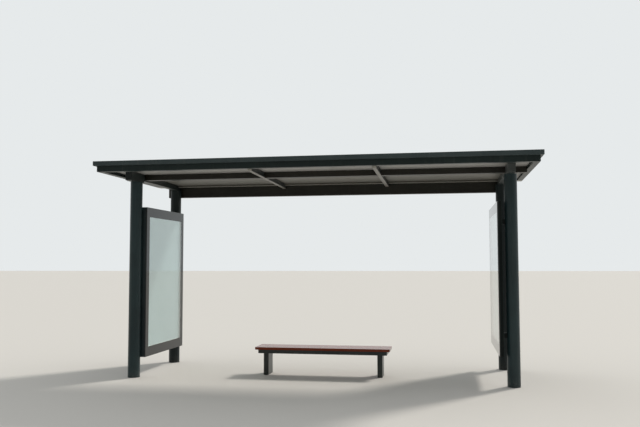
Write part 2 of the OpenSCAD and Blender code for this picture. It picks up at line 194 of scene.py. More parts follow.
@dataclass
class Pattern:
    """A node tree under construction, with the patterns that finishes share.

    Attributes:
        tree: The node tree.
    """

    tree: bpy.types.NodeTree

    @cached_property
    def place(self) -> Socket:
        """Give the position in the row frame, in metres."""
        return add_node(self.tree, "ShaderNodeTexCoord").outputs["Object"]

    def part(self, vector: Socket, axis: str, fade: Span, ends: Span) -> Socket:
        """Give a factor that changes with one part of a vector, smoothly and clamped.

        Args:
            vector: The vector, such as a position or a direction.
            axis: X, Y or Z.
            fade: The part's values that give the first and the second end.
            ends: The two ends.

        Returns:
            The factor.
        """
        source = add_node(self.tree, "ShaderNodeSeparateXYZ", {0: vector}).outputs[axis]
        values = {0: source, 1: fade[0], 2: fade[1], 3: ends[0], 4: ends[1]}
        return add_node(self.tree, "ShaderNodeMapRange", SMOOTHLY | values).outputs[0]

    def along(self, axis: str, fade: Span, ends: Span) -> Socket:
        """Give a factor that changes with the position along X, Y or Z."""
        return self.part(self.place, axis, fade, ends)

    def facing(self, axis: str, fade: Span, ends: Span) -> Socket:
        """Give a factor that changes with how far a face looks along X, Y or Z."""
        normal = add_node(self.tree, "ShaderNodeNewGeometry").outputs["Normal"]
        return self.part(normal, axis, fade, ends)

    def within(self, opening: tuple[float, ...]) -> Socket:
        """Tell what lies within an opening that stands in the YZ plane.

        Args:
            opening: The middle's Y and Z, half the width and half the height, in metres.

        Returns:
            A factor: 1 within the opening, 0 beyond it.
        """
        parts = add_node(self.tree, "ShaderNodeSeparateXYZ", {0: self.place}).outputs
        beyond = []
        for axis, middle, half in zip("YZ", opening[:2], opening[2:]):
            away = parts[axis]
            steps = (("SUBTRACT", middle), ("ABSOLUTE", 0), ("SUBTRACT", half))
            for operation, number in steps:
                values = {"operation": operation, 0: away, 1: number}
                away = add_node(self.tree, "ShaderNodeMath", values).outputs[0]
            beyond.append(away)
        values = {"operation": "MAXIMUM", 0: beyond[0], 1: beyond[1]}
        most = add_node(self.tree, "ShaderNodeMath", values).outputs[0]
        values = {0: most, 1: COAT_EDGE[0], 2: COAT_EDGE[1], 3: 1, 4: 0}
        return add_node(self.tree, "ShaderNodeMapRange", SMOOTHLY | values).outputs[0]

    def mottle(self, kind: Mottle, where: Socket | None = None) -> Socket:
        """Give a mottle's value.

        Args:
            kind: The mottle.
            where: Where it is read, if not at the plain position.

        Returns:
            A factor between the mottle's ends.
        """
        where = self.place if where is None else where
        if kind.shape is not Shape.EVEN:
            values = {"Scale": kind.shape.value, "Vector": where}
            where = add_node(self.tree, "ShaderNodeMapping", values).outputs["Vector"]
        values = {"Scale": 1 / kind.size, "Detail": kind.detail, "Roughness": kind.rough}
        noise = add_node(self.tree, "ShaderNodeTexNoise", values | {"Vector": where})
        values = {0: noise.outputs["Fac"], 1: kind.fade[0], 2: kind.fade[1]}
        values |= {3: kind.ends[0], 4: kind.ends[1]}
        return add_node(self.tree, "ShaderNodeMapRange", SMOOTHLY | values).outputs[0]

    def relief(self, kind: Relief) -> Socket:
        """Give the normal of a relief.

        Args:
            kind: The relief.

        Returns:
            The normal.
        """
        values = {"Scale": 1 / kind.size, "Detail": kind.detail, "Roughness": FINER_OCTAVES}
        noise = add_node(self.tree, "ShaderNodeTexNoise", values | {"Vector": self.place})
        values = {"Height": noise.outputs["Fac"], "Distance": kind.depth}
        values |= {"Strength": kind.strength}
        return add_node(self.tree, "ShaderNodeBump", values).outputs["Normal"]

    def layers(self, colour: Socket | str, *over: tuple[Socket, str]) -> Socket:
        """Lay colours over one another.

        Args:
            colour: The lowest colour, as a hex code or an output.
            over: How much of each further colour shows, and its hex code.

        Returns:
            The colour that shows.
        """
        shown = linear(colour) if isinstance(colour, str) else colour
        for share, code in over:
            values = {"data_type": "RGBA", 0: share, 6: shown, 7: linear(code)}
            shown = add_node(self.tree, "ShaderNodeMix", values).outputs[2]
        return shown

    def change(
        self, share: Socket, colours: tuple[Socket | str, str], roughness: Span, full: float = 1
    ) -> dict:
        """Change a surface from one finish to another.

        Args:
            share: How much of the second finish's colour shows.
            colours: The colours of the first and the second finish.
            roughness: Their roughness.
            full: The share at which the roughness has changed.

        Returns:
            The colour and the roughness, as values for the main shader.
        """
        values = {0: share, 2: full, 3: roughness[0], 4: roughness[1]}
        rough = add_node(self.tree, "ShaderNodeMapRange", SMOOTHLY | values).outputs[0]
        return {"Base Color": self.layers(colours[0], (share, colours[1])), "Roughness": rough}

    def surface(self, values: dict) -> None:
        """Add the main shader with its values, and feed the material's output from it."""
        shader = add_node(self.tree, "ShaderNodeBsdfPrincipled", values)
        add_node(self.tree, "ShaderNodeOutputMaterial", {"Surface": shader.outputs[0]})


# --- Finishes ------------------------------------------------------------------------------


@dataclass(frozen=True)
class Finish:
    """A finish: it makes one material.

    Attributes:
        name: The material's name.
    """

    name: str

    def build(self, pattern: Pattern) -> None:
        """Fill the material's tree."""
        raise NotImplementedError

    def material(self) -> bpy.types.Material:
        """Make the material, or give the one already made.

        Returns:
            The material.
        """
        made = bpy.data.materials.get(self.name)
        if made is None:
            made = bpy.data.materials.new(self.name)
            made.use_nodes = True
            made.node_tree.nodes.clear()
            self.build(Pattern(made.node_tree))
        return made


@dataclass(frozen=True)
class PowderCoatedSteel(Finish):
    """Galvanised steel, powder coated in a satin blue-grey and baked.

    The baked powder leaves a fine orange peel, which softens every reflection. Outdoors
    the colour chalks a little in broad patches, rain leaves faint runs on upright faces,
    dust lies on level tops and splashed dirt reaches a hand's width up from the feet.

    Attributes:
        colour: The coat's own colour.
        chalked: The colour where the coat has chalked.
        dust: The colour of dust and dirt.
        underside: The lighter colour of faces that look down: painted light thrown up from the
            ground.
        front_end: The lighter grey of faces that look forward, towards -Y.
        inner_wall: Where the wall beside the ceiling stands, along Y, or 0 for none.
        wall: That wall's lighter colour.
        lining: The colour within the opening, where the coat is white to spread the light.
        opening: The opening's middle along Y and Z, half its width and half its height; empty
            where nothing is lined.
        roughness: The clean coat's roughness.
        dirt_roughness: The roughness of dust and dirt.
        shine: How strongly it mirrors, with 0.5 for a fresh coat.
        runs: How strongly rain runs show.
        splash: The height that splashed dirt reaches, or 0 for none.
        dust_cover: How much of a level top the dust hides.
        chalking: The chalked patches.
        rain: The rain runs, before their strength.
        settling: The dust's clouds.
        splashing: The splashed dirt's spots.
        peel: The orange peel. It is about 2 mm across; at 5 mm it still shows up close.
    """

    colour: str
    chalked: str
    dust: str = "8c8a82"
    underside: str = ""
    front_end: str = ""
    inner_wall: float = 0.0
    wall: str = "4a4843"
    lining: str = "e4e8e4"
    opening: tuple[float, ...] = ()
    roughness: float = 0.42
    dirt_roughness: float = 0.85
    shine: float = 0.4
    runs: float = 0.05
    splash: float = 0.0
    dust_cover: float = 0.55
    chalking: Mottle = Mottle(size=0.55, detail=5, fade=(0.35, 0.7))
    rain: Mottle = Mottle(size=0.035, detail=3, fade=(0.52, 0.78), shape=Shape.RUNS_DOWN)
    settling: Mottle = Mottle(size=0.12, detail=6, fade=(0.25, 0.6), ends=(0.35, 1.0))
    splashing: Mottle = Mottle(
        size=0.02, detail=6, fade=(0.45, 0.8), ends=(0.02, 0.35), rough=0.7
    )
    peel: Relief = Relief(size=5 * MM, detail=2, depth=0.04 * MM)

    def build(self, pattern: Pattern) -> None:
        """Fill the material's tree.

        Args:
            pattern: The tree's patterns.
        """
        colours = (self.coat(pattern), self.dust)
        roughness = (self.roughness, self.dirt_roughness)
        values = pattern.change(self.dirt(pattern), colours, roughness)
        values |= {"IOR": RESIN_IOR, "Specular IOR Level": self.shine}
        pattern.surface(values | {"Normal": pattern.relief(self.peel)})

    def coat(self, pattern: Pattern) -> Socket:
        """Give the coat under the dirt.

        Args:
            pattern: The tree's patterns.

        Returns:
            The coat's colour on every face.
        """
        layers = [(pattern.mottle(self.chalking), self.chalked)]
        # Faces that look down take a lighter colour: painted light from the ground.
        if self.underside:
            layers.append((pattern.facing("Z", AGAINST, FALLING), self.underside))
        # Faces that look forward take a lighter grey.
        if self.front_end:
            layers.append((pattern.facing("Y", AGAINST, FALLING), self.front_end))
        # Everything in front of the wall's line along Y takes the wall's lighter colour.
        if self.inner_wall:
            edge = (self.inner_wall + COAT_EDGE[0], self.inner_wall + COAT_EDGE[1])
            layers.append((pattern.along("Y", edge, FALLING), self.wall))
        if self.opening:
            layers.append((pattern.within(self.opening), self.lining))
        return pattern.layers(self.colour, *layers)

    def dirt(self, pattern: Pattern) -> Socket:
        """Give the dirt: rain runs, dust on level tops and splashes at the feet.

        Args:
            pattern: The tree's patterns.

        Returns:
            How much of the coat the dirt hides.
        """
        dirt = pattern.mottle(replace(self.rain, ends=(0.0, self.runs)))
        level = pattern.facing("Z", LEVELLING, (0.0, self.dust_cover))
        layers = [(level, self.settling)]
        if self.splash:
            low = pattern.along("Z", (0.0, self.splash), FALLING)
            layers.append((low, self.splashing))
        for share, kind in layers:
            values = {"operation": "MULTIPLY_ADD", "use_clamp": True, 0: share, 2: dirt}
            values[1] = pattern.mottle(kind)
            dirt = add_node(pattern.tree, "ShaderNodeMath", values).outputs[0]
        return dirt


@dataclass(frozen=True)
class CoatedDeckSheet(Finish):
    """Steel sheet, coil coated in grey before it was rolled into ribs.

    Years of rain leave dust in long runs down the fall and thicker dirt in the valleys.

    Attributes:
        colour: The sheet's coating.
        dust: The dust that lies on it.
        runs: The runs of dust.
        clouds: The clouds in which dust lies.
        roughness: The roughness of the clean and of the dusty sheet.
        grain: The coating's grain.
    """

    colour: str = "6f7573"
    dust: str = "9a958a"
    runs: Mottle = Mottle(
        size=0.06, detail=5, fade=(0.35, 0.7), ends=(0.1, 0.85), shape=Shape.ALONG_Y
    )
    clouds: Mottle = Mottle(size=0.9, detail=4, fade=(0.3, 0.7), ends=(0.3, 1.0))
    roughness: Span = (0.42, 0.9)
    grain: Relief = Relief(size=12 * MM, detail=3, depth=0.08 * MM)

    def build(self, pattern: Pattern) -> None:
        """Fill the material's tree.

        Args:
            pattern: The tree's patterns.
        """
        values = {"operation": "MULTIPLY", 0: pattern.mottle(self.runs)}
        values[1] = pattern.mottle(self.clouds)
        dirt = add_node(pattern.tree, "ShaderNodeMath", values).outputs[0]
        values = pattern.change(dirt, (self.colour, self.dust), self.roughness)
        pattern.surface(values | {"IOR": RESIN_IOR, "Normal": pattern.relief(self.grain)})


@dataclass(frozen=True)
class CoatedCeilingSheet(Finish):
    """Aluminium ceiling sheet, coil coated in warm grey.

    It is flat and matt, a little uneven between its fixings, with faint water marks. Ahead
    of the front beam it is painted lighter: painted light from the ground in front.

    Attributes:
        colour: The sheet's coating.
        mark: The colour of water marks.
        painted_light_ahead: The lighter colour ahead of the front beam: painted light from the
            ground.
        beam: Where the front beam's middle stands, along Y.
        blur: How far ahead of that the lighter colour starts to fade.
        marks: The water marks.
        roughness: The roughness of the clean sheet and of the strongest mark.
        waves: The sheet's unevenness.
    """

    colour: str = "71706a"
    mark: str = "5b564d"
    painted_light_ahead: str = "a2a19e"
    beam: float = -296 * MM
    blur: float = 50 * MM
    marks: Mottle = Mottle(size=0.35, detail=6, fade=(0.55, 0.75), ends=(0.0, 0.5))
    roughness: Span = (0.45, 0.6)
    waves: Relief = Relief(size=0.4, detail=2, depth=1.5 * MM, strength=0.5)

    def build(self, pattern: Pattern) -> None:
        """Fill the material's tree.

        Args:
            pattern: The tree's patterns.
        """
        # Ahead of the front beam the sheet is painted lighter: painted light from the ground.
        ahead = pattern.along("Y", (self.beam - self.blur, self.beam), FALLING)
        coat = pattern.layers(self.colour, (ahead, self.painted_light_ahead))
        marks = pattern.mottle(self.marks)
        strongest = self.marks.ends[1]
        values = pattern.change(marks, (coat, self.mark), self.roughness, strongest)
        pattern.surface(values | {"IOR": RESIN_IOR, "Normal": pattern.relief(self.waves)})


@dataclass(frozen=True)
class OpalAcrylic(Finish):
    """Cast acrylic sheet, filled opal and left matt.

    It spreads light evenly: no image shows through, and its own shine is dull. It glows
    evenly: partly the lamps behind it, partly painted light in place of the daylight on it.

    Attributes:
        colour: The sheet's colour, kept dark so that sun and shade mark it little.
        aged: The colour where it has aged, in broad clouds.
        glow: The colour of its glow: the lamps' light through it, and painted light.
        strength: How strongly it glows.
        ior: Its index of refraction.
        ageing: The clouds in which it has aged.
        haze: The patches of its roughness.
    """

    colour: str = "646e70"
    aged: str = "5a6466"
    glow: str = "dbeeec"
    strength: float = 0.34
    ior: float = 1.49
    ageing: Mottle = Mottle(size=0.5, detail=3, fade=(0.35, 0.65))
    haze: Mottle = Mottle(size=0.02, detail=3, fade=(0.3, 0.7), ends=(0.5, 0.6))

    def build(self, pattern: Pattern) -> None:
        """Fill the material's tree.

        Args:
            pattern: The tree's patterns.
        """
        clouds = pattern.mottle(self.ageing)
        values = {"Base Color": pattern.layers(self.colour, (clouds, self.aged))}
        values |= {"IOR": self.ior, "Roughness": pattern.mottle(self.haze)}
        # The glow is partly painted light in place of daylight.
        values |= {"Emission Color": linear(self.glow), "Emission Strength": self.strength}
        pattern.surface(values)


@dataclass(frozen=True)
class ToughenedGlass(Finish):
    """Clear float glass, toughened, with ground edges.

    It mirrors more the flatter it is seen, and a thin veil of dust dulls it in patches.
    Light from the lamps passes it unbent, so that what lies behind is lit.

    Attributes:
        tint: The colour that the glass gives to what is behind it.
        ior: Its index of refraction.
        veil: The veil's roughness.
    """

    tint: str = "f3f9f7"
    ior: float = 1.52
    veil: Mottle = Mottle(size=0.25, detail=6, fade=(0.4, 0.75), ends=(0.0, 0.04))

    def build(self, pattern: Pattern) -> None:
        """Fill the material's tree.

        Args:
            pattern: The tree's patterns.
        """
        tree, tint = pattern.tree, linear(self.tint)
        values = {"Base Color": tint, "IOR": self.ior, "Transmission Weight": 1.0}
        values["Roughness"] = pattern.mottle(self.veil)
        glass = add_node(tree, "ShaderNodeBsdfPrincipled", values).outputs[0]
        clear = add_node(tree, "ShaderNodeBsdfTransparent", {"Color": tint}).outputs[0]
        shadow = add_node(tree, "ShaderNodeLightPath").outputs["Is Shadow Ray"]
        mix = add_node(tree, "ShaderNodeMixShader", {0: shadow, 1: glass, 2: clear})
        add_node(tree, "ShaderNodeOutputMaterial", {"Surface": mix.outputs[0]})


@dataclass(frozen=True)
class EnamelledGlass(Finish):
    """Float glass with black ceramic enamel, screen printed on its back and fired.

    Seen through the glass the enamel is an even, dense black with a slight bloom, and the
    face mirrors like the pane beside it.

    Attributes:
        colour: The fired enamel.
        bloom: The enamel's lighter patches.
        ior: The face's index of refraction, matched to how weakly it mirrors.
        blooming: Where the patches lie.
        veil: The veil of dust's roughness.
    """

    colour: str = "0d1112"
    bloom: str = "14191a"
    ior: float = 1.42
    blooming: Mottle = Mottle(size=0.2, detail=4, fade=(0.35, 0.7))
    veil: Mottle = Mottle(size=0.25, detail=6, fade=(0.4, 0.75), ends=(0.02, 0.05))

    def build(self, pattern: Pattern) -> None:
        """Fill the material's tree.

        Args:
            pattern: The tree's patterns.
        """
        patches = pattern.mottle(self.blooming)
        values = {"Base Color": pattern.layers(self.colour, (patches, self.bloom))}
        values |= {"IOR": self.ior, "Roughness": pattern.mottle(self.veil)}
        pattern.surface(values)


@dataclass(frozen=True)
class VarnishedHardwood(Finish):
    """Red-brown hardwood boards, planed, eased and varnished.

    Growth rings run along the boards as long flames, with fine dark pores. The varnish
    mirrors strongly when seen flat. The tops are paled in patches: partly the marks of use
    and sun, partly a painted sheen.

    Attributes:
        early: The lighter wood of a ring.
        late: The darker wood of a ring.
        pore: The colour of the pores.
        sheen_and_wear: The pale colour laid on the top: partly the marks of use and sun, partly
            painted sheen.
        board_pitch: The distance from board to board, which sets one board's grain off from
            the next one's.
        first_board: Where the first board starts.
        board_shift: The most by which a board's grain is set off.
        board_tone: The most of the darker wood that a whole board takes on.
        ring: The distance from ring to ring. It is about 4 mm; at 6 mm it still shows.
        ring_fade: The rings' values between the lighter and the darker wood.
        waving: How strongly the rings are bent into flames.
        pores: The pores. They are under half a millimetre wide; at 1 mm they still show.
        topping: The upward part of the normal over which the pale colour comes in.
        sheen_and_wear_share: The most of the pale colour.
        sheen_and_wear_patches: The patches of the pale colour.
        roughness: The wood's own roughness, from the lighter to the darker wood.
        grain_depth: The grain's depth.
        grain_strength: How much of it is applied.
        varnish: The shader's values for the wood and for the varnish over it.
    """

    early: str = "96401a"
    late: str = "5c210c"
    pore: str = "2e1108"
    sheen_and_wear: str = "dc9c86"
    board_pitch: float = 82 * MM
    first_board: float = 0.0
    board_shift: float = 0.35
    board_tone: float = 0.35
    ring: float = 6.0415 * MM
    ring_fade: Span = (0.15, 0.9)
    waving: tuple[tuple[str, float], ...] = (
        ("Distortion", 3.5),
        ("Detail", 3.0),
        ("Detail Scale", 1.3),
    )
    pores: Mottle = Mottle(
        size=MM / 0.9,
        detail=3,
        fade=(0.56, 0.7),
        ends=(0.0, 0.7),
        shape=Shape.LONG_ALONG_X,
        rough=0.5,
    )
    topping: Span = (0.6, 0.98)
    sheen_and_wear_share: float = 0.6
    sheen_and_wear_patches: Mottle = Mottle(
        size=0.3, detail=4, fade=(0.3, 0.7), ends=(0.4, 1.0), shape=Shape.ALONG_X
    )
    roughness: Span = (0.42, 0.52)
    grain_depth: float = 0.1 * MM
    grain_strength: float = 0.3
    varnish: tuple[tuple[str, float], ...] = (
        ("IOR", 1.48),
        ("Specular IOR Level", 0.1),
        ("Coat Weight", 0.86),
        ("Coat Roughness", 0.07),
        ("Coat IOR", 1.3),
    )

    def build(self, pattern: Pattern) -> None:
        """Fill the material's tree.

        Args:
            pattern: The tree's patterns.
        """
        tree = pattern.tree
        own = self.own_values(pattern)
        # Each board shows another place of the wood
        values = {"operation": "SCALE", "Scale": self.board_shift, 0: own["Color"]}
        shift = add_node(tree, "ShaderNodeVectorMath", values).outputs[0]
        values = {"operation": "ADD", 0: pattern.place, 1: shift}
        moved = add_node(tree, "ShaderNodeVectorMath", values).outputs[0]
        rings = self.rings(pattern, moved)
        pores = pattern.mottle(self.pores, moved)
        values = {0: rings, 1: self.ring_fade[0], 2: self.ring_fade[1]}
        late = add_node(tree, "ShaderNodeMapRange", SMOOTHLY | values).outputs[0]
        # Some boards are darker as a whole, and the tops are paled: partly use and sun, partly
        # painted sheen
        values = {0: own["Value"], 4: self.board_tone}
        tone = add_node(tree, "ShaderNodeMapRange", SMOOTHLY | values).outputs[0]
        top = pattern.facing("Z", self.topping, (0.0, self.sheen_and_wear_share))
        values = {"operation": "MULTIPLY", 0: top, 1: pattern.mottle(self.sheen_and_wear_patches)}
        sheen_and_wear = add_node(tree, "ShaderNodeMath", values).outputs[0]
        layers = ((late, self.late), (pores, self.pore), (tone, self.late), (sheen_and_wear, self.sheen_and_wear))
        values = {0: rings, 3: self.roughness[0], 4: self.roughness[1]}
        rough = add_node(tree, "ShaderNodeMapRange", SMOOTHLY | values).outputs[0]
        values = {"operation": "ADD", "use_clamp": True, 0: pores, 1: rings}
        grain = add_node(tree, "ShaderNodeMath", values).outputs[0]
        values = {"Height": grain, "Distance": self.grain_depth}
        values |= {"Strength": self.grain_strength}
        normal = add_node(tree, "ShaderNodeBump", values).outputs["Normal"]
        values = {"Base Color": pattern.layers(self.early, *layers), "Roughness": rough}
        pattern.surface(dict(self.varnish) | values | {"Normal": normal})

    def own_values(self, pattern: Pattern) -> bpy.types.bpy_prop_collection:
        """Give each board a random colour and a random value of its own.

        Args:
            pattern: The tree's patterns.

        Returns:
            The outputs Color and Value, the same all over a board.
        """
        tree = pattern.tree
        board = add_node(tree, "ShaderNodeSeparateXYZ", {0: pattern.place}).outputs["Y"]
        start, pitch = ("SUBTRACT", self.first_board), ("DIVIDE", self.board_pitch)
        for operation, number in (start, pitch, ("FLOOR", 0)):
            values = {"operation": operation, 0: board, 1: number}
            board = add_node(tree, "ShaderNodeMath", values).outputs[0]
        values = {"noise_dimensions": "1D", "W": board}
        return add_node(tree, "ShaderNodeTexWhiteNoise", values).outputs

    def rings(self, pattern: Pattern, where: Socket) -> Socket:
        """Give the growth rings, whose flames run 20 times as far along the board.

        Args:
            pattern: The tree's patterns.
            where: The position, with each board set off from the next one.

        Returns:
            A factor: 0 in the lighter and 1 in the darker wood of a ring.
        """
        values = {"Scale": Shape.ALONG_X.value, "Vector": where}
        squeezed = add_node(pattern.tree, "ShaderNodeMapping", values).outputs["Vector"]
        # At a scale of 1 the wave goes through 20 radians in a metre
        values = {"Scale": math.tau / 20 / self.ring, "Vector": squeezed}
        values |= {"wave_type": "RINGS", "rings_direction": "X"} | dict(self.waving)
        return add_node(pattern.tree, "ShaderNodeTexWave", values).outputs["Fac"]


@dataclass(frozen=True)
class PatchyFinish(Finish):
    """A finish whose colour and roughness change together in patches.

    Attributes:
        colour: The plain colour.
        patched: The patches' colour.
        patches: The patches.
        roughness: The roughness of the plain finish and of a patch.
        metallic: 1 for bare metal.
    """

    colour: str
    patched: str
    patches: Mottle
    roughness: Span
    metallic: float = 0.0

    def build(self, pattern: Pattern) -> None:
        """Fill the material's tree, with the default index of refraction.

        Args:
            pattern: The tree's patterns.
        """
        patches = pattern.mottle(self.patches)
        values = pattern.change(patches, (self.colour, self.patched), self.roughness)
        pattern.surface(values | {"Metallic": self.metallic})


@dataclass(frozen=True)
class MattFloor(Finish):
    """A plain floor, pale and matt.

    Attributes:
        colour: The floor's colour.
        roughness: Its roughness.
        shine: How strongly it mirrors.
    """

    colour: str = "dcd8d2"
    roughness: float = 0.9
    shine: float = 0.2

    def build(self, pattern: Pattern) -> None:
        """Fill the material's tree."""
        values = {"Base Color": linear(self.colour), "Roughness": self.roughness}
        pattern.surface(values | {"Specular IOR Level": self.shine})


def satin(where: str, colour: str, chalked: str, **changes: float | str) -> PowderCoatedSteel:
    """Give the satin coat on some parts.

    Args:
        where: The parts, as the material's name has them.
        colour: The coat's own colour.
        chalked: The colour where the coat has chalked.
        changes: What else differs there from the usual coat.

    Returns:
        The finish.
    """
    return PowderCoatedSteel(f"satin_coat_on_{where}", colour, chalked, **changes)


POST_COAT = satin("posts", "1a2d30", "22373a", splash=160 * MM)
# A darker copy of the posts' coat for the rear posts: painted shade of the roof.
REAR_POST_PAINTED_SHADE_COAT = satin("rear_posts", "121e1f", "182425", shine=0.3, splash=160 * MM)
# Copies of the middle rafters' coat: the left one darker, painted shade; the right one lighter,
# painted sunlight.
LEFT_RAFTER_PAINTED_SHADE_COAT = satin("left_rafter", "171f1f", "1e2727", runs=0.02)
RIGHT_RAFTER_PAINTED_LIGHT_COAT = satin("right_rafter", "3a3f3f", "444948", runs=0.02)
# The middle rafters' faces that look down are painted lighter: painted light from the ground.
MIDDLE_RAFTER_COAT = satin(
    "middle_rafters", "24292a", "2e3233", underside="76746e", front_end="b0ada4", runs=0.02
)
# Darker and warmer than the posts' coat: painted shade under the roof, tinted by warm light
# from the ground.
BEAM_PAINTED_SHADE_COAT = satin("beams", "1b1a14", "22211b", shine=0.3, runs=0.02)
# Darker than the posts' coat: painted shade under the roof's top band.
EDGE_PAINTED_SHADE_COAT = satin("edge", "152221", "1c2a29", shine=0.3)
# The gutter's faces that look down are painted lighter: painted light from the ground.
GUTTER_COAT = satin("gutter", "141c1c", "1b2424", underside="9a9992", inner_wall=955 * MM)
# Lighter than the edge frame's coat below it: painted light from the sky.
CAP_PAINTED_LIGHT_COAT = satin("cap", "3b4648", "444f50", roughness=0.5, shine=0.25, runs=0.08)
CASE_COAT = satin("cases", "1b292b", "223032", shine=0.3)
# A darker copy of the cases' coat for the right case's body: painted shade.
SHADED_CASE_COAT = satin("shaded_case", "0c1413", "111918", shine=0.12)
DOOR_COAT = satin("doors", "161c1d", "1c2323", roughness=0.3)
BENCH_COAT = satin("bench", "1d2523", "252e2c", roughness=0.32, shine=0.5, splash=80 * MM)
DECK_SHEET = CoatedDeckSheet("coated_deck_sheet")
CEILING_SHEET = CoatedCeilingSheet("coated_ceiling_sheet")
OPAL_SHEET = OpalAcrylic("opal_acrylic")
PANE = ToughenedGlass("toughened_glass")
BORDER = EnamelledGlass("enamelled_glass")
# Stainless steel, tumbled to a soft grey shine, that weather dulls in spots
SCREW_STEEL = PatchyFinish(
    "stainless_screws",
    colour="b9bab8",
    patched="8f8e88",
    patches=Mottle(size=3 * MM, detail=4, fade=(0.4, 0.65)),
    roughness=(0.28, 0.5),
    metallic=1.0,
)
# Black EPDM rubber: dull, with a faint grey bloom
WASHER_RUBBER = PatchyFinish(
    "rubber_washers",
    colour="16181a",
    patched="2a2c2d",
    patches=Mottle(size=0.05, detail=5, fade=(0.4, 0.75)),
    roughness=(0.6, 0.8),
)


# --- Mesh helpers --------------------------------------------------------------------------


def new_object(name: str, mesh: bmesh.types.BMesh, finish: Finish) -> bpy.types.Object:
    """Turn a mesh into an object of the scene.

    Args:
        name: The object's name.
        mesh: Its mesh, in the row frame. It is freed here.
        finish: Its finish.

    Returns:
        The object.
    """
    data = bpy.data.meshes.new(name)
    mesh.to_mesh(data)
    mesh.free()
    data.materials.append(finish.material())
    made = bpy.data.objects.new(name, data)
    bpy.context.scene.collection.objects.link(made)
    return made


def new_piece(
    name: str, mesh: bmesh.types.BMesh, finish: Finish
) -> bpy.types.Object:
    """Turn a mesh into a piece of the shelter.

    Args:
        name: The piece's name.
        mesh: Its mesh, in the row frame. It is freed here.
        finish: Its finish.

    Returns:
        The piece, riding on the shelter's one body.
    """
    bmesh.ops.recalc_face_normals(mesh, faces=mesh.faces)
    piece = new_object(name, mesh, finish)
    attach(piece, "root")
    log.info("%s: %d faces, %s", name, len(piece.data.polygons), finish.name)
    return piece


def lathe(mesh: bmesh.types.BMesh, profile: tuple[Span, ...], at: Matrix, sides: int) -> None:
    """Turn a profile about the local Z axis into a closed solid.

    Args:
        mesh: The mesh that takes the solid.
        profile: Radius and height of each ring in millimetres, from the lower middle to the
            upper middle.
        at: Where the solid goes.
        sides: The number of sides.
    """
    turns = [2 * math.pi * i / sides for i in range(sides)]
    rings = []
    for radius, height in profile:
        points = [(radius * math.cos(turn), radius * math.sin(turn)) for turn in turns]
        if radius == 0:
            points = [(0.0, 0.0)]
        places = [at @ (Vector((x, y, height)) * MM) for x, y in points]
        rings.append([mesh.verts.new(place) for place in places])
    for lower, upper in zip(rings, rings[1:]):
        for i in range(sides):
            j = (i + 1) % sides
            below = [lower[i % len(lower)], lower[j % len(lower)]]
            above = [upper[j % len(upper)], upper[i % len(upper)]]
            # At a pole both corners of a side are one vertex, and the face is a triangle
            mesh.faces.new(list(dict.fromkeys(below + above)))


def upright_ring(
    mesh: bmesh.types.BMesh, section: list[tuple[float, float, float]], centre: Vector
) -> None:
    """Sweep a section round a rectangle that stands in the YZ plane, with mitred corners.

    Args:
        mesh: The mesh that takes the ring.
        section: Points of the section: half the width along Y, half the height, and X.
        centre: The rectangle's middle; the section's X starts there.
    """
    corners = []
    for y, z in SQUARE:
        points = [centre + Vector((x, y * wide, z * high)) for wide, high, x in section]
        corners.append([mesh.verts.new(point) for point in points])
    for i, corner in enumerate(corners):
        after = corners[(i + 1) % len(corners)]
        for j in range(len(section)):
            k = (j + 1) % len(section)
            mesh.faces.new((corner[j], corner[k], after[k], after[j]))


# --- The shelter's sub-assemblies ----------------------------------------------------------


@dataclass(frozen=True)
class Dressing:
    """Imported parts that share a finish.

    Attributes:
        parts: The nodes.
        finish: Their finish.
        eased: Width of the eased edges, or 0 to leave the edges as packed.
        steps: Faces across an eased edge.
        sharpest: The least angle of an edge that is eased, in degrees.
        weld: How near two vertices are that are one.
    """

    parts: tuple[str, ...]
    finish: Finish
    eased: float = 0.0
    steps: int = 2
    sharpest: float = 35.0
    weld: float = 0.01 * MM

    def dress(self) -> None:
        """Give each part its finish and ease its edges."""
        for part in self.parts:
            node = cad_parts[part]
            for place in node.material_slots:
                place.material = self.finish.material()
            if self.eased:
                self.ease(node)
            log.info("%s: %s", part, self.finish.name)

    def ease(self, node: bpy.types.Object) -> None:
        """Ease a part's edges, by modifiers that leave its mesh as packed.

        Args:
            node: The part.
        """
        joined = node.modifiers.new("joined", "WELD")
        joined.merge_threshold = self.weld
        eased = node.modifiers.new("eased_edges", "BEVEL")
        eased.width = self.eased
        eased.segments = self.steps
        eased.limit_method = "ANGLE"
        eased.angle_limit = math.radians(self.sharpest)
        eased.harden_normals = True


@dataclass
class Structure:
    """Posts, rafters and beams.

    Attributes:
        front_posts: The two posts that the sun reaches.
        rear_posts: The two rear posts, in a darker copy of the posts' coat: painted shade of
            the roof.
        left_rafter: The rafter on the left posts, in a darker copy of the rafters' coat:
            painted shade.
        right_rafter: The rafter on the right posts, in a lighter copy of the rafters' coat:
            painted sunlight.
        middle_rafters: The two rafters between them.
        beams: The front and the rear beam.
    """

    front_posts: Dressing = Dressing(("front_left_post", "front_right_post"), POST_COAT)
    rear_posts: Dressing = Dressing(("rear_left_post", "rear_right_post"), REAR_POST_PAINTED_SHADE_COAT)
    left_rafter: Dressing = Dressing(("left_side_rafter",), LEFT_RAFTER_PAINTED_SHADE_COAT, 3 * MM)
    right_rafter: Dressing = Dressing(("right_side_rafter",), RIGHT_RAFTER_PAINTED_LIGHT_COAT, 3 * MM)
    middle_rafters: Dressing = Dressing(
        ("left_middle_rafter", "right_middle_rafter"), MIDDLE_RAFTER_COAT, 3 * MM
    )
    beams: Dressing = Dressing(("front_beam", "rear_beam"), BEAM_PAINTED_SHADE_COAT, 3 * MM)

    def build(self) -> None:
        """Dress the structure."""
        rafters = (self.left_rafter, self.right_rafter, self.middle_rafters)
        for part in (self.front_posts, self.rear_posts, *rafters, self.beams):
            part.dress()


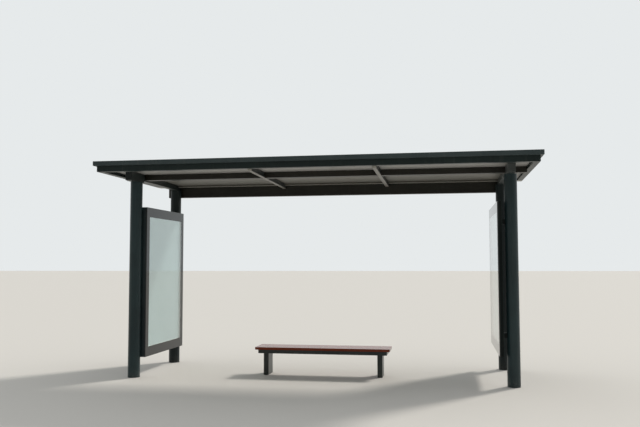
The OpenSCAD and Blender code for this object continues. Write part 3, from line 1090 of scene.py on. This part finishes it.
@dataclass
class Roof:
    """Edge frame, gutter, top band, deck and ceiling.

    Attributes:
        edge: The edge frame.
        gutter: The gutter at the rear.
        cap: The top band.
        deck: The ribbed sheet.
        ceiling: The ceiling sheet.
    """

    edge: Dressing = Dressing(("front_edge", "left_edge", "right_edge"), EDGE_PAINTED_SHADE_COAT, 2 * MM)
    gutter: Dressing = Dressing(("rear_gutter",), GUTTER_COAT)
    cap: Dressing = Dressing(
        ("front_cap", "rear_cap", "left_cap", "right_cap"), CAP_PAINTED_LIGHT_COAT, 2.5 * MM
    )
    deck: Dressing = Dressing(("roof_deck",), DECK_SHEET)
    ceiling: Dressing = Dressing(("ceiling_sheet",), CEILING_SHEET)

    def build(self) -> None:
        """Dress the roof."""
        for part in (self.edge, self.gutter, self.cap, self.deck, self.ceiling):
            part.dress()


@dataclass
class DisplayCase:
    """A glazed display case at one end.

    Attributes:
        end: The end of the shelter.
        body_coat: The finish of its rails, stiles and brackets.
        panel_ledge: How far the light panel reaches behind the window's edge.
        border_t: How far the pane and its border stand in front of the door frame.
        border_clear: Gap between the border and the door frame.
        border_rim: Width of the border's rim round the window.
        ease: Width of the ground edges of the glass.
        pane_gap: Gap between the clear pane and its border.
        bracket_dust: How much of a bracket's top the dust hides, under the case.
    """

    end: End
    body_coat: PowderCoatedSteel
    panel_ledge: float = 11.7 * MM
    border_t: float = 1.5 * MM
    border_clear: float = 0.05 * MM
    border_rim: float = 3 * MM
    ease: float = 0.5 * MM
    pane_gap: float = 0.1 * MM
    bracket_dust: float = 0.05

    def build(self) -> None:
        """Dress the case, and add its pane and the pane's border."""
        word = self.end.word
        middle, window = self.window()
        lined = replace(
            self.body_coat,
            name=f"satin_coat_on_{word}_case_body",
            opening=(middle.y, middle.z, *window),
        )
        brackets = replace(
            self.body_coat, name=f"satin_coat_on_{word}_brackets", dust_cover=self.bracket_dust
        )
        for part, finish, eased in (
            ("case_back", CASE_COAT, 0.0),
            ("case_rails", lined, 1 * MM),
            ("case_stiles", lined, 1 * MM),
            ("case_brackets", brackets, 0.0),
            ("door_rails", DOOR_COAT, 1.2 * MM),
            ("door_stiles", DOOR_COAT, 1.2 * MM),
            ("light_panel", OPAL_SHEET, 0.0),
        ):
            Dressing((f"{word}_{part}",), finish, eased).dress()
        self.add_border()
        self.add_pane()

    def window(self) -> tuple[Vector, Span]:
        """Find the window in front of the light panel.

        Returns:
            Its middle, and half its width and half its height.
        """
        low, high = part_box(f"{self.end.word}_light_panel")
        half = (high - low) / 2
        return (low + high) / 2, (half.y - self.panel_ledge, half.z - self.panel_ledge)

    def door(self) -> tuple[Vector, Span]:
        """Find the front of the door frame.

        Returns:
            Its middle, and half its width and half its height.
        """
        low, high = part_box(f"{self.end.word}_door_stiles")
        middle, half = (low + high) / 2, (high - low) / 2
        middle.x = high.x if self.end is End.LEFT else low.x
        return middle, (half.y, half.z)

    def glass_back(self) -> float:
        """Give how far the back of the glass stands in front of the door frame."""
        low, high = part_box(f"{self.end.word}_case_glass")
        return self.border_t - (high.x - low.x)

    def add_border(self) -> None:
        """Add the pane's black border, which covers the door frame."""
        centre, door = self.door()
        window = self.window()[1]
        front, back, clear = self.border_t, self.glass_back(), self.border_clear
        outline = (
            (window, 0.0, back),
            (window, 0.0, front),
            (door, -self.ease, front),
            (door, 0.0, front - self.ease),
            (door, 0.0, clear),
            (window, self.border_rim, clear),
            (window, self.border_rim, back),
        )
        way = self.end.value
        section = [(half[0] + out, half[1] + out, way * x) for half, out, x in outline]
        mesh = bmesh.new()
        upright_ring(mesh, section, centre)
        new_piece(f"{self.end.word}_pane_border", mesh, BORDER)

    def add_pane(self) -> None:
        """Add the clear pane, flush with its border."""
        word = self.end.word
        centre = self.door()[0]
        wide, high = (half - self.pane_gap for half in self.window()[1])
        front, back, ease = self.border_t, self.glass_back(), self.ease
        steps = ((ease, back), (0.0, back + ease), (0.0, front - ease), (ease, front))
        mesh = bmesh.new()
        rings = []
        for inset, x in steps:
            size = Vector((self.end.value * x, wide - inset, high - inset))
            points = [centre + size * Vector((1, y, z)) for y, z in SQUARE]
            rings.append([mesh.verts.new(point) for point in points])
        for first, second in zip(rings, rings[1:]):
            for i in range(len(SQUARE)):
                j = (i + 1) % len(SQUARE)
                mesh.faces.new((first[i], first[j], second[j], second[i]))
        mesh.faces.new(rings[0])
        mesh.faces.new(rings[-1])
        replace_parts(new_piece(f"{word}_pane", mesh, PANE), f"{word}_case_glass")


@dataclass
class Bench:
    """The bench: boards, frame and legs, and the screws that hold the boards.

    Attributes:
        boards: The number of boards.
        gap: Gap between two boards.
        screw: Half a section of a screw head about the board's top, in millimetres: up its
            edge, over its dome and down into its socket.
        screw_sides: Sides of a screw head.
        spread: Distance between the two screws of a board.
        seed: Seed of the screws' turns.
    """

    boards: int = 5
    gap: float = 10 * MM
    screw: tuple[Span, ...] = (
        (0, -1),
        (5.5, -1),
        (5.5, 0.2),
        (4.73, 0.648),
        (3.3, 0.9),
        (2.5, 0.9),
        (2.25, -0.6),
        (0, -0.6),
    )
    screw_sides: int = 12
    spread: float = 36 * MM
    seed: int = 11

    def build(self) -> None:
        """Dress the bench and add its screws."""
        low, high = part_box("seat_boards")
        first = low.y - self.gap / 2
        pitch = (high.y - low.y + self.gap) / self.boards
        wood = VarnishedHardwood("varnished_hardwood", board_pitch=pitch, first_board=first)
        Dressing(("seat_boards",), wood).dress()
        steel = ("bench_long_rails", "bench_cross_rails", "bench_left_leg", "bench_right_leg")
        Dressing(steel, BENCH_COAT, 1.5 * MM).dress()
        draw = random.Random(self.seed)
        mesh = bmesh.new()
        for support in ("bench_left_leg", "seat_boards", "bench_right_leg"):
            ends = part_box(support)
            x = (ends[0].x + ends[1].x) / 2
            for i in range(self.boards):
                middle = first + (i + 0.5) * pitch
                for side in (-0.5, 0.5):
                    turn = Matrix.Rotation(draw.uniform(0, math.pi), 4, "Z")
                    where = Matrix.Translation((x, middle + side * self.spread, high.z))
                    lathe(mesh, self.screw, where @ turn, self.screw_sides)
        new_piece("seat_screws", mesh, SCREW_STEEL)


@dataclass
class DeckScrews:
    """Hex screws with washers in the valleys of the roof deck.

    Attributes:
        pitch: Distance between ribs.
        rows: Shares of the deck's depth at which the screws stand.
        margin: Length of the sheet, along X, that has no screws, both ends together.
        rib: Height of a rib over the valleys.
        sheet: Thickness of the sheet.
        stray: How far a screw may stand off its place, along X.
        head: Half a section of a hex head in millimetres, out to its corners. It is 8 mm
            across its flats.
        head_sides: Sides of a head.
        washer: Half a section of a washer in millimetres.
        washer_sides: Sides of a washer.
        seed: Seed of the screws' places and turns.
    """

    pitch: float = 207 * MM
    rows: tuple[float, ...] = (0.04, 0.36, 0.68, 0.97)
    margin: float = 118 * MM
    rib: float = 36 * MM
    sheet: float = 1 * MM
    stray: float = 4 * MM
    head: tuple[Span, ...] = ((0, 0), (4.6188, 0), (4.6188, 3.6), (3.695, 4.4), (0, 4.4))
    head_sides: int = 6
    washer: tuple[Span, ...] = ((0, 0), (8, 0), (8, 1), (5.6, 2), (0, 2))
    washer_sides: int = 14
    seed: int = 5

    def build(self) -> None:
        """Add the screws, on the sheet's fall."""
        low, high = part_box("roof_deck")
        rear_z = low.z
        front_z = high.z - self.rib
        count = int((high.x - low.x - self.margin) / self.pitch)
        on_washer = Matrix.Translation((0, 0, self.washer[-1][1] * MM))
        draw = random.Random(self.seed)
        washers, heads = bmesh.new(), bmesh.new()
        for row in self.rows:
            y = low.y + (high.y - low.y) * row
            z = front_z + (rear_z - front_z) * row + self.sheet
            for i in range(count):
                x = (i - (count - 1) / 2) * self.pitch
                where = Matrix.Translation((x + draw.uniform(-1, 1) * self.stray, y, z))
                turn = Matrix.Rotation(draw.uniform(0, math.pi), 4, "Z")
                lathe(washers, self.washer, where, self.washer_sides)
                lathe(heads, self.head, where @ turn @ on_washer, self.head_sides)
        new_piece("deck_washers", washers, WASHER_RUBBER)
        new_piece("deck_screws", heads, SCREW_STEEL)


# --- Studio and camera ---------------------------------------------------------------------


@dataclass
class Studio:
    """A pale floor, soft light and the camera.

    Attributes:
        floor_finish: The floor's finish.
        floor_size: Half the floor's side.
        sky: The colour of the light from all round.
        backdrop: How bright that looks to the camera.
        around: How strongly it lights from the camera's side and from behind.
        around_fade: The parts along Y of the directions between which it turns.
        overhead: How much stronger it lights from straight above.
        overhead_fade: The parts along Z of the directions between which that comes in.
        sun: The sun's strength.
        sun_width: How wide the sun is, in degrees.
        sun_colour: Its colour.
        sun_way: The direction in which it shines.
        camera_at: The camera's place.
        yaw: How far it looks to the left of +Y, in degrees.
        pitch: How far it looks up, in degrees.
        roll: How far it leans, in degrees.
        lens: Its focal length in millimetres.
        sensor: Its sensor's width in millimetres.
        reach: How far it sees.
    """

    floor_finish: Finish = MattFloor("pale_floor")
    floor_size: float = 120.0
    sky: str = "f6fafb"
    backdrop: float = 0.86
    around: Span = (0.2, 0.85)
    around_fade: Span = (-0.9, 0.6)
    overhead: float = 0.1
    overhead_fade: Span = (0.3, 1.0)
    sun: float = 1.9
    sun_width: float = 9.0
    sun_colour: tuple[float, float, float] = (1.0, 0.96, 0.9)
    sun_way: tuple[float, float, float] = (-0.49, -0.6, -0.632)
    camera_at: tuple[float, float, float] = (1.7015, -10.1047, 1.5737)
    yaw: float = 9.709
    pitch: float = 3.834
    roll: float = -0.095
    lens: float = 40.9
    sensor: float = 36.0
    reach: float = 500.0

    def build(self) -> None:
        """Add the floor, the lights and the camera, and set the picture's tones."""
        self.add_floor()
        self.add_sky()
        self.add_sun()
        self.add_camera()
        bpy.context.scene.view_settings.view_transform = "Standard"

    def add_floor(self) -> None:
        """Add the pale floor."""
        mesh = bmesh.new()
        size = self.floor_size
        mesh.faces.new([mesh.verts.new((x * size, y * size, 0)) for x, y in SQUARE])
        floor = new_object("floor", mesh, self.floor_finish)

    def add_sky(self) -> None:
        """Light the scene from all round: bright behind the shelter, dimmer in front."""
        world = bpy.data.worlds.new("studio")
        bpy.context.scene.world = world
        world.use_nodes = True
        tree = world.node_tree
        tree.nodes.clear()
        pattern = Pattern(tree)
        way = add_node(tree, "ShaderNodeTexCoord").outputs["Generated"]
        around = pattern.part(way, "Y", self.around_fade, self.around)
        above = pattern.part(way, "Z", self.overhead_fade, (0.0, self.overhead))
        values = {"operation": "ADD", "use_clamp": True, 0: around, 1: above}
        cast = add_node(tree, "ShaderNodeMath", values).outputs[0]
        seen = add_node(tree, "ShaderNodeLightPath").outputs["Is Camera Ray"]
        values = {"data_type": "FLOAT", 0: seen, 2: cast, 3: self.backdrop}
        strength = add_node(tree, "ShaderNodeMix", values).outputs[0]
        values = {"Color": linear(self.sky), "Strength": strength}
        light = add_node(tree, "ShaderNodeBackground", values).outputs[0]
        add_node(tree, "ShaderNodeOutputWorld", {"Surface": light})

    def add_sun(self) -> None:
        """Add a very soft sun, high behind the right end."""
        data = bpy.data.lights.new("key", "SUN")
        data.angle = math.radians(self.sun_width)
        data.energy = self.sun
        data.color = self.sun_colour
        lamp = bpy.data.objects.new("key", data)
        lamp.rotation_euler = Vector(self.sun_way).to_track_quat("-Z", "Y").to_euler()
        bpy.context.scene.collection.objects.link(lamp)

    def add_camera(self) -> None:
        """Add the camera at the photograph's viewing angle."""
        data = bpy.data.cameras.new("camera")
        data.sensor_width = self.sensor
        data.lens = self.lens
        data.clip_end = self.reach
        camera = bpy.data.objects.new("camera", data)
        # With no turn at all it would look straight down
        turn = (
            Matrix.Rotation(math.radians(self.yaw), 4, "Z")
            @ Matrix.Rotation(math.radians(90 + self.pitch), 4, "X")
            @ Matrix.Rotation(math.radians(self.roll), 4, "Z")
        )
        camera.matrix_world = Matrix.Translation(self.camera_at) @ turn
        bpy.context.scene.collection.objects.link(camera)
        bpy.context.scene.camera = camera


def main() -> None:
    """Build the shelter's looks, the studio and the camera."""
    logging.basicConfig(level=logging.INFO, format="%(message)s")
    Structure().build()
    Roof().build()
    DisplayCase(End.LEFT, CASE_COAT).build()
    DisplayCase(End.RIGHT, SHADED_CASE_COAT).build()
    Bench().build()
    DeckScrews().build()
    Studio().build()


if __name__ == "__main__":
    main()
